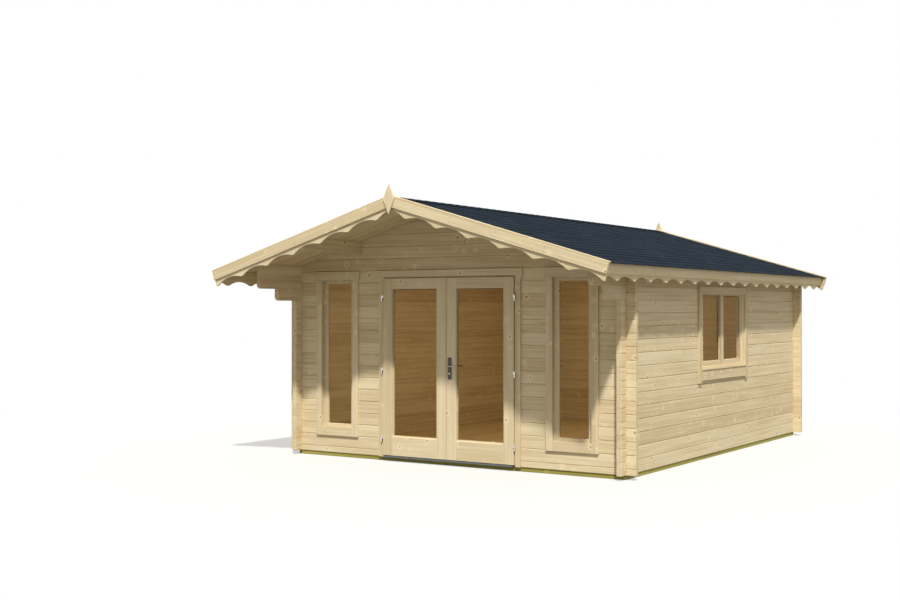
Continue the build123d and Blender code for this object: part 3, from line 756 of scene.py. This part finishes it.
# %% Plan the row of boards
row_tree = Tree("row_of_boards")
board, count, step, seed, finish = row_tree.inputs(
    board="Object", count="Int", step="Vector", seed="Int", finish="Material"
)
line = row_tree.add("GeometryNodeMeshLine", mode="OFFSET", count_mode="TOTAL")
row_tree.set(line.inputs["Count"], count)
row_tree.set(line.inputs["Offset"], step)
row_tree.end(row_tree.repeat(line.outputs[0], board, seed=seed), finish)


def lay_row(name, slot, finish, solid, along, count, step, seed, *stands_for):
    """Lays a board side by side, as one piece of the cabin."""
    shape = pattern(name + "_board", solid, along)
    mesh = grow(name, row_tree, board=shape, count=count, step=step, seed=seed, finish=finish)
    bpy.data.objects.remove(shape)
    return stand(mesh, "cabin", slot, *stands_for)


print("tree:", row_tree.tree.name)

# %% [markdown]
# ## Floor and ceiling boards
# Both are tongued boards with a small V at every joint. The floor's boards lie across the joists and the
# roof's boards run from the ridge to the eave. One board is drawn as a section and a length, and the row
# tree lays it side by side.


# %% Lay the floor boards
def board_section(width, thick, vee, low):
    """Section of a board with its V edges below or above, as pairs of side and height."""
    half = width / 2
    if low:
        return [(vee - half, 0), (half - vee, 0), (half, vee), (half, thick), (-half, thick), (-half, vee)]
    top = [(half, thick - vee), (half - vee, thick), (vee - half, thick), (-half, thick - vee)]
    return [(-half, 0), (half, 0)] + top


joint, floor_vee, roof_vee = 0.0006, 0.002, 0.004
floor_low, floor_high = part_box("floor_deck")
floor_count, floor_seed = 43, 4
floor_step = (floor_high.x - floor_low.x) / floor_count
section = board_section(floor_step - joint, floor_high.z - floor_low.z, floor_vee, False)
first_x = floor_low.x + floor_step / 2
ends = [
    [(first_x + side, y, floor_low.z + up) for side, up in section] for y in (floor_low.y, floor_high.y)
]
lay_row(
    "floor_boards", "board_timber", board_wood, sweep(ends), (0, 1, 0), floor_count, (floor_step, 0, 0),
    floor_seed, "floor_deck",
)
print(floor_count, "floor boards of", round(1000 * floor_step, 1), "mm")


# %% Lay the roof boards
def on_slope(side, x, y, above):
    """A point over the underside of the roof boards, measured square to the slope."""
    return (side * x, y, ridge_under - tan(roof_pitch) * x + above / cos(roof_pitch))


deck_low, deck_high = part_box("right_roof_deck")
deck_thick = 0.019
ridge_under = deck_high.z - deck_thick / cos(roof_pitch) + tan(roof_pitch) * deck_low.x
roof_count, roof_seed = 70, 8
roof_step = (deck_high.y - deck_low.y) / roof_count
section = board_section(roof_step - joint, deck_thick, roof_vee, True)
first_y = deck_low.y + roof_step / 2
for side, node in ((1, "right_roof_deck"), (-1, "left_roof_deck")):
    ends = [[on_slope(side, x, first_y + s, up) for s, up in section] for x in (deck_low.x, deck_high.x)]
    way = (cos(roof_pitch), 0, -side * sin(roof_pitch))
    lay_row(
        node.replace("deck", "boards"), "board_timber", board_wood, sweep(ends), way, roof_count,
        (0, roof_step, 0), roof_seed + side, node,
    )
print(2 * roof_count, "roof boards of", round(1000 * roof_step, 1), "mm")

# %% [markdown]
# ## Roof shingles
# The roof is covered with dark blue-black mineral shingles. From the ground they show as faint lines, one
# for each course, because every shingle is a little thicker at its lower edge and is painted darker where
# it is tucked under the next, a painted shade of the course above. A course is a row of wedge-shaped tabs,
# every second course is shifted by half a tab, and the ridge has folded caps with the same painted shade
# at their thin ends. The tree works out each tab's place from its number, trims the ends straight and tips
# the field onto the slope. The last course hangs a little over the felt.

# %% Mix the mineral finish
mineral, steps, shader = new_finish("mineral_felt")
place = steps.add("ShaderNodeTexCoord").outputs["Object"]
tone = steps.carried("tone")
grit = steps.noise(place, 520.0, 2.0)
cloud = steps.noise(place, 2.2, 3.0)
mottle = steps.plus(tone, 0.7, steps.times(cloud, 0.4))
deep_blue, slate = (0.0070, 0.0133, 0.023, 1), (0.0109, 0.0195, 0.032, 1)
dark = steps.blend(steps.fade(mottle, 0.25, 0.95), deep_blue, slate)
length = steps.carried("grain", "Vector")
from_middle = steps.add("ShaderNodeSeparateXYZ", length).outputs[0]
# The upper part of each tab, where it is tucked under the next course, is painted darker: a painted shade
# of the course above.
painted_course_shade = steps.fade(from_middle, -0.085, -0.055, 0.5, 0.0)
dark = steps.blend(painted_course_shade, dark, (0.0035, 0.006, 0.0105, 1))
speckle = steps.fade(grit, 0.56, 0.72)
steps.set(
    shader.inputs["Base Color"],
    steps.blend(steps.times(speckle, 0.2), dark, (0.030, 0.046, 0.068, 1)),
)
steps.set(shader.inputs["Roughness"], steps.plus(grit, 0.15, 0.84))
shader.inputs["Specular IOR Level"].default_value = 0.06
steps.set(shader.inputs["Normal"], steps.bump(grit, 0.0012, 0.6))
for node in ("left_roofing", "right_roofing"):
    refinish(node, mineral)
print("mineral finish mixed")

# %% Plan the shingle tree
plan = Tree("courses_of_shingles")
tab, courses, tabs, seed, finish = plan.inputs(
    tab="Object", courses="Int", tabs="Int", seed="Int", finish="Material"
)
course_height, tab_pitch, half_length, ridge_spot, tip = plan.inputs(
    course_height="Float", tab_pitch="Float", half_length="Float", ridge_spot="Vector", tip="Rotation"
)

line = plan.add("GeometryNodeMeshLine", mode="OFFSET", count_mode="TOTAL")
plan.set(line.inputs["Count"], plan.times(courses, tabs))
number = plan.add("GeometryNodeInputIndex").outputs[0]
row = plan.math("FLOOR", plan.math("DIVIDE", number, tabs))
column = plan.math("MODULO", number, tabs)
odd = plan.math("SUBTRACT", plan.math("MODULO", row, 2.0), 0.5)
middle = plan.times(plan.math("SUBTRACT", tabs, 1.0), 0.5)
place_y = plan.math("SUBTRACT", column, middle)
place_y = plan.plus(odd, 0.5, place_y)
spot = plan.add(
    "ShaderNodeCombineXYZ",
    plan.times(row, course_height),
    plan.times(place_y, tab_pitch),
)
moved = plan.add("GeometryNodeSetPosition", line.outputs[0])
plan.set(moved.inputs["Position"], spot.outputs[0])
thick = plan.add("FunctionNodeRandomValue", data_type="FLOAT")
limits = {"Min": 0.8, "Max": 1.2}
for socket in thick.inputs:
    if socket.enabled and socket.name in limits:
        socket.default_value = limits[socket.name]
plan.set(thick.inputs["Seed"], plan.math("ADD", seed, 1.0))
thickness = next(s for s in thick.outputs if s.enabled)
scale = plan.add("ShaderNodeCombineXYZ", 1.0, 1.0, thickness)
laid = plan.repeat(moved.outputs[0], tab, scale=scale.outputs[0], seed=seed)
here = plan.add("ShaderNodeSeparateXYZ", plan.add("GeometryNodeInputPosition").outputs[0])
far_end = plan.times(half_length, -1.0)
straight = plan.math("MINIMUM", here.outputs[1], half_length)
straight = plan.math("MAXIMUM", straight, far_end)
trimmed = plan.add("GeometryNodeSetPosition", laid)
cut_to = plan.add("ShaderNodeCombineXYZ", here.outputs[0], straight, here.outputs[2])
plan.set(trimmed.inputs["Position"], cut_to.outputs[0])
tipped = plan.add("GeometryNodeTransform", trimmed.outputs[0])
plan.set(tipped.inputs["Translation"], ridge_spot)
plan.set(tipped.inputs["Rotation"], tip)
plan.end(tipped.outputs[0], finish)
print("tree:", plan.tree.name)

# %% Cover both slopes
cover_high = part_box("right_roofing")[1]
course_count, tab_count, shingle_seed = 18, 21, 20
felt_thick, verge_gap, eave_drip = 0.004, 0.0275, 0.010
shingle_half = cover_high.y - verge_gap
course = (cover_high.x + eave_drip) / cos(roof_pitch) / course_count
tab_width = 2 * shingle_half / (tab_count - 1)
slot_half, butt, tail, nose, lift = 0.003, 0.0055, 0.0012, 0.003, 0.0002
outline = [(0.0, lift), (course, lift), (course, butt - nose / 2), (course - nose, butt), (0.0, tail)]
side_edges = (-tab_width / 2 + slot_half, tab_width / 2 - slot_half)
wedge = [[(x, y, z) for x, z in outline] for y in side_edges]
shingle_tab = pattern("shingle_tab", sweep(wedge), (1, 0, 0))
ridge_top = ridge_under + (deck_thick + felt_thick) / cos(roof_pitch)
for side, name in ((1, "right_shingles"), (-1, "left_shingles")):
    mesh = grow(
        name, plan, tab=shingle_tab, courses=course_count, tabs=tab_count, course_height=course,
        tab_pitch=tab_width, half_length=shingle_half, ridge_spot=(0, 0, ridge_top),
        tip=(0, roof_pitch, 0 if side > 0 else pi), seed=shingle_seed + side, finish=mineral,
    )
    stand(mesh, "cabin", "roofing")
bpy.data.objects.remove(shingle_tab)
print(2 * course_count * tab_count, "tabs in courses of", round(1000 * course), "mm")

# %% Fold the ridge caps
cap_count, cap_seed = 44, 31
cap_step = 2 * shingle_half / cap_count
cap_half, fold_half, fold_drop = 0.15, 0.03, 0.004
cap_butt, cap_tail = 0.006, 0.002


def cap_ring(y, thick):
    """The outline of a folded cap at one of its ends."""
    flanks = [(x, -tan(roof_pitch) * abs(x)) for x in (-cap_half, -fold_half, fold_half, cap_half)]
    over = flanks[:2] + [(0.0, -fold_drop)] + flanks[2:]
    top = [(x, y, ridge_top + butt + z + thick) for x, z in over]
    return top + [(x, y, z - thick) for x, y, z in reversed(top)]


first = -shingle_half
cap = sweep([cap_ring(first, cap_butt), cap_ring(first + cap_step, cap_tail)])
# Laid along -y, so that the painted course shade falls on the thin end of each cap.
lay_row("ridge_caps", "roofing", mineral, cap, (0, -1, 0), cap_count, (0, cap_step, 0), cap_seed)
print(cap_count, "ridge caps")

# %% [markdown]
# ## Threshold
# Under the leaves lies a metal strip with fine ribs along its length. Its section is drawn rib by rib and
# drawn out to the width of the doorway.

# %% Draw out the threshold
sill_low, sill_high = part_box("door_threshold")
rib, dip, lip = 0.006, 0.0012, 0.004
rim = [(sill_low.y, sill_low.z), (sill_high.y, sill_low.z), (sill_high.y, sill_high.z)]
ribs = int((sill_high.y - sill_low.y - 4 * rib) / (2 * rib))
spot_y = sill_high.y - 2 * rib
for _ in range(ribs):
    rim += [(spot_y, sill_high.z), (spot_y - 0.2 * rib, sill_high.z - dip)]
    rim += [(spot_y - 0.8 * rib, sill_high.z - dip), (spot_y - rib, sill_high.z)]
    spot_y -= 2 * rib
rim += [(sill_low.y + lip, sill_high.z), (sill_low.y, sill_high.z - lip)]
strip = sweep([[(x, y, z) for y, z in rim] for x in (sill_low.x, sill_high.x)])
pile = Pile()
pile.lay(strip, (1, 0, 0))
stand(pile.mesh("threshold_strip", mill_metal), "cabin", "threshold_metal", "door_threshold")
print(ribs, "ribs on the threshold")

# %% [markdown]
# ## Glazing beads
# A thin rounded bead holds every pane on both sides. It is four mitred bars, so each bar is swept between
# its two mitres and has its own grain.


# %% Pin the beads
def bead_bars(low, high, wide, deep):
    """Mitred bars around a pane: low and high corner of the opening as pairs, in bead coordinates."""
    shoulder = [(wide, 0.35 * deep), (0.75 * wide, 0.8 * deep), (0.4 * wide, deep)]
    section = [(0, 0), (wide, 0), *shoulder, (0, deep)]
    (a0, b0), (a1, b1) = low, high
    mitres = [(a0, 1, b0, 1), (a1, -1, b0, 1), (a0, 1, b1, -1), (a1, -1, b1, -1)]
    rings = [[(a + da * i, b + db * i, d) for i, d in section] for a, da, b, db in mitres]
    ends = ((0, 1, 0), (2, 3, 0), (0, 2, 1), (1, 3, 1))
    return [([rings[first], rings[last]], way) for first, last, way in ends]


def pin_beads(name, body, openings):
    """Beads for openings: (low pair, high pair, place of a bead point, width, depth)."""
    pile = Pile()
    draw = random.Random(name)
    for low, high, at, wide, deep in openings:
        for rings, way in bead_bars(low, high, wide, deep):
            solid = sweep([[at(*p) for p in ring] for ring in rings])
            direction = Vector(at(1 - way, way, 0)) - Vector(at(0, 0, 0))
            pile.lay(solid, direction, draw.random())
    return stand(pile.mesh(name, trim_wood), body, "trim_timber")


def pane_sides(node, outer, inner):
    """Both sides of each pane of a node, with the width and depth of its outer and inner beads."""
    found = []
    for solid in islands(node):
        low, high = box_of(solid)
        through = min((0, 1), key=lambda axis: high[axis] - low[axis])
        first = (low[1 - through] + glass_bed, low.z + glass_bed)
        last = (high[1 - through] - glass_bed, high.z - glass_bed)
        outwards = 1 if through == 0 else -1
        for way, bead in ((outwards, outer), (-outwards, inner)):

            def at(a, b, d, way=way, face=(high if way > 0 else low)[through], through=through):
                return (face + way * d, a, b) if through == 0 else (a, face + way * d, b)

            found.append((first, last, at, *bead))
    return found


glass_bed = 0.010
slim, full = (0.007, 0.006), (0.012, 0.012)
for name, body, node, outer in (
    ("front_window_beads", "cabin", "front_window_glass", full),
    ("left_door_beads", "left_door", "left_door_glass", slim),
    ("right_door_beads", "right_door", "right_door_glass", slim),
    ("side_window_beads", "cabin", "side_window_glass", slim),
):
    pin_beads(name, body, pane_sides(node, outer, full))
print("beads pinned")

# %% [markdown]
# ## Hinges
# Each hinge is a pair of turned knuckles on a pin. The lower knuckle has an arm back to the casing and
# the upper one an arm to the leaf. The CAD knuckles already have their true place, so they are eased, and
# a small domed cap goes on the free end of each, where the pin is pressed in.

# %% Turn the hinges
joints = {j["name"]: j for j in frame["record"]["behaviour"]["joints"]}
hinge_x, hinge_y = joints["right_door_swing"]["pos_m"][:2]
knuckle_arris, pin_sides = 0.0009, 16
pin_cap = [(0.0055, 0.0), (0.0055, 0.0012), (0.0044, 0.0028), (0.0022, 0.0038), (0.0004, 0.0041)]
for node, above in (("frame_hinges", False), ("left_door_hinges", True), ("right_door_hinges", True)):
    pile = Pile()
    for solid in islands(node):
        low, high = box_of(solid)
        side = 1 if low.x > 0 else -1
        ease(solid, knuckle_arris)
        pile.lay(solid, (0, 0, 1))
        cap_z, facing = (high.z, 1) if above else (low.z, -1)
        cap = turned([(r, facing * h) for r, h in pin_cap], pin_sides)
        bmesh.ops.translate(cap, vec=(side * hinge_x, hinge_y, cap_z), verts=cap.verts)
        pile.lay(cap, (0, 0, 1))
    stand(pile.mesh(node + "_metal", zinc, crease=35), cad_nodes[node]["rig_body"], "hinge_metal", node)
print("hinges turned about", (round(hinge_x, 3), round(hinge_y, 3)))

# %% [markdown]
# ## Handle
# The plates have rounded corners and a bevelled rim. Under the lever sits the key cylinder, a nickel disc
# with a slot. The lever is one round bar that leaves the plate through a collar, bends and grows flatter
# and wider towards its end. Both sides of the leaf are the same, mirrored at the leaf's middle.

# %% Shape the handle
plate_low, plate_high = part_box("handle_plates")
leaf_low, leaf_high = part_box("right_door_leaf")
handle_x, lever_z = joints["lever_turn"]["pos_m"][0], joints["lever_turn"]["pos_m"][2]
plate_thick, plate_corner, key_drop = 0.008, 0.011, 0.082
plate_mid = (plate_low.z + plate_high.z) / 2


def outward(points, facing):
    """Points (across, out, up) from the leaf's face to the cabin's frame, for one side of the leaf."""
    face_y = leaf_low.y if facing < 0 else leaf_high.y
    return [(handle_x + a, face_y + facing * o, z) for a, o, z in points]


def plate_solid(facing):
    """A plate with a bevelled rim."""
    width, height = plate_high.x - plate_low.x, plate_high.z - plate_low.z
    rings = []
    rim = ((0, 0), (0, plate_thick - 0.003), (0.001, plate_thick - 0.001), (0.003, plate_thick))
    for inset, out in rim:
        edge = rounded(width - 2 * inset, height - 2 * inset, plate_corner - inset)
        rings.append(outward([(a, out, plate_mid + up) for a, up in edge], facing))
    return sweep(rings)


def disc(facing, up, profile, sides=20):
    """A turned part that stands out of the leaf at a height, from pairs of radius and distance."""
    rings = [[(a, out, up + b) for a, b in circle(radius, sides)] for radius, out in profile]
    return sweep([outward(ring, facing) for ring in rings])


plates, keys, bar = Pile(), Pile(), Pile()
for facing in (-1, 1):
    plates.lay(plate_solid(facing), (0, 0, 1))
    cylinder = [(0.009, plate_thick - 0.001), (0.009, plate_thick + 0.004), (0.008, plate_thick + 0.005)]
    keys.lay(disc(facing, lever_z - key_drop, cylinder), (0, 1, 0))
    keyhole = rounded(width=0.0022, height=0.0085, corner=0.0009, steps_round=3)
    outs = (plate_thick + 0.0046, plate_thick + 0.0052)
    rings = [outward([(a, o, lever_z - key_drop + up) for a, up in keyhole], facing) for o in outs]
    plates.lay(sweep(rings), (0, 0, 1))
stand(plates.mesh("handle_plate_shells", bronze, crease=25), "right_door", "handle_metal", "handle_plates")
stand(keys.mesh("key_cylinders", nickel, crease=25), "right_door", "handle_metal")
print("plates of", round(1000 * (plate_high.z - plate_low.z)), "mm")

# %% Bend the lever
lever_low, lever_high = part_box("door_lever")
bar_half, bar_sides, bend, bend_steps = 0.0065, 14, 0.018, 6
reach = leaf_low.y - lever_low.y - bar_half
grip = lever_high.x - handle_x
path = [(0.0, 0.0), (0.0, reach - bend)]
for i in range(bend_steps):
    turn = (i + 1) / bend_steps * pi / 2
    path.append((bend - bend * cos(turn), reach - bend + bend * sin(turn)))
path += [(share * grip, reach) for share in (0.35, 0.7, 0.94, 0.985, 1.0)]
round_part = [bar_half] * (bend_steps + 2)
half_wide = round_part + [0.0066, 0.0072, 0.0082, 0.007, 0.003]
half_deep = round_part + [0.0062, 0.0058, 0.0055, 0.0046, 0.002]
for facing in (-1, 1):
    rings = []
    for i, (a, o) in enumerate(path):
        before, after = path[max(i - 1, 0)], path[min(i + 1, len(path) - 1)]
        way = Vector((after[0] - before[0], after[1] - before[1])).normalized()
        ring = []
        for x, y in circle(1.0, bar_sides):
            deep, up = half_deep[i] * x, half_wide[i] * y
            ring.append((a + way.y * deep, o - way.x * deep, lever_z + up))
        rings.append(outward(ring, facing))
    bar.lay(sweep(rings), (1, 0, 0))
    collar = [(0.0088, plate_thick), (0.0088, plate_thick + 0.007), (0.0072, plate_thick + 0.01)]
    bar.lay(disc(facing, lever_z, collar), (0, 1, 0))
stand(bar.mesh("door_lever_bar", satin, crease=35), "lever", "handle_metal", "door_lever")
print("lever of", round(1000 * grip), "mm, key", round(1000 * key_drop), "mm below it")

# %% [markdown]
# ## Nails and screws
# Trims are nailed on and the heads stay in sight: pairs along the bargeboards, one row on each casing and
# fascia, two screws in each finial and in each handle plate. One tree puts a head on every point of a list
# and turns it to face the way that the point's `facing` says.

# %% Plan the tree of heads
head_tree = Tree("driven_heads")
head, seed, finish = head_tree.inputs(head="Object", seed="Int", finish="Material")
told = head_tree.add("GeometryNodeInputNamedAttribute", data_type="FLOAT_VECTOR")
told.inputs["Name"].default_value = "facing"
turn = head_tree.add("FunctionNodeAlignRotationToVector", axis="Z")
head_tree.set(turn.inputs["Vector"], told.outputs["Attribute"])
driven = head_tree.repeat(head_tree.entry.outputs["Geometry"], head, turn=turn.outputs[0], seed=seed)
head_tree.end(driven, finish)
print("tree:", head_tree.tree.name)


# %% Drive nails and screws
def drive(name, body, slot, finish, profile, spots):
    """Stands a head on each spot: pairs of a place and the way that the head faces."""
    start = bpy.data.meshes.new(name + "_spots")
    start.from_pydata([place for place, _ in spots], [], [])
    flat = [value for _, way in spots for value in way]
    start.attributes.new("facing", "FLOAT_VECTOR", "POINT").data.foreach_set("vector", flat)
    shape = pattern(name + "_head", turned(profile, head_sides), (0, 0, 1))
    mesh = grow(name, head_tree, start, head=shape, seed=head_seed, finish=finish)
    bpy.data.objects.remove(shape)
    return stand(mesh, body, slot)


def along_box(box, facing, pitch, inset=0.06):
    """Spots along the middle of a timber's outer face."""
    low, high = box
    size = high - low
    across = max(range(3), key=lambda i: abs(facing[i]))
    way = max((i for i in range(3) if i != across), key=lambda i: size[i])
    middle = (low + high) / 2
    middle[across] = high[across] if facing[across] > 0 else low[across]
    count = max(2, 1 + round((size[way] - 2 * inset) / pitch))
    found = []
    for i in range(count):
        spot = Vector(middle)
        spot[way] = low[way] + inset + (size[way] - 2 * inset) * i / (count - 1)
        found.append((spot[:], facing))
    return found


head_sides, head_seed = 8, 50
front, right, left = (0, -1, 0), (1, 0, 0), (-1, 0, 0)
casing_pitch, window_pitch, fascia_pitch = 1.04, 0.5, 0.6
tall, tall_inset, wide_inset = 0.5, 0.14, 0.05
spots = []
for node in ("front_window_casings", "door_casing"):
    for box in timber_boxes[node]:
        upright = box[1].z - box[0].z > tall
        spots += along_box(box, front, casing_pitch, tall_inset if upright else wide_inset)
for box in timber_boxes["side_window_casing"]:
    spots += along_box(box, right, window_pitch)
for box in timber_boxes["eave_fascias"]:
    spots += along_box(box, right if box[0].x > 0 else left, fascia_pitch)
verge_top = max(high.z for _, high in timber_boxes["verge_caps"])
verge_length = max(high.x for _, high in timber_boxes["front_bargeboards"]) / cos(roof_pitch)
barge_y = max(high.y for _, high in timber_boxes["back_bargeboards"])
pairs, first_pair, last_pair, depths = 5, 0.22, 0.12, (0.046, 0.094)
for end in (-1, 1):
    for side in (-1, 1):
        for i in range(pairs):
            for depth in depths:
                s = first_pair + i * (verge_length - first_pair - last_pair) / (pairs - 1)
                x = s * cos(roof_pitch) - depth * sin(roof_pitch)
                z = verge_top - s * sin(roof_pitch) - depth * cos(roof_pitch)
                spots.append(((side * x, end * barge_y, z), (0, end, 0)))
nail_head = [(0.0042, -0.0004), (0.0042, 0.0004), (0.0032, 0.0009), (0.001, 0.0011)]
drive("nail_heads", "cabin", "hinge_metal", steel, nail_head, spots)

screw_spots = []
for low, high in timber_boxes["finials"]:
    end = -1 if low.y < 0 else 1
    face_y = end * max(abs(low.y), abs(high.y))
    for drop in (0.03, 0.12):
        screw_spots.append(((0, face_y, verge_top - drop), (0, end, 0)))
screw_head = [(0.0045, -0.0004), (0.0045, 0.0006), (0.0036, 0.0014), (0.0012, 0.0008)]
drive("finial_screws", "cabin", "hinge_metal", zinc, screw_head, screw_spots)
plate_spots, plate_inset = [], 0.014
for end, face_y in ((-1, leaf_low.y - plate_thick), (1, leaf_high.y + plate_thick)):
    for z in (plate_low.z + plate_inset, plate_high.z - plate_inset):
        plate_spots.append(((handle_x, face_y, z), (0, end, 0)))
drive("plate_screws", "right_door", "handle_metal", bronze, screw_head, plate_spots)
print(len(spots), "nails,", len(screw_spots) + len(plate_spots), "screws")

# %% [markdown]
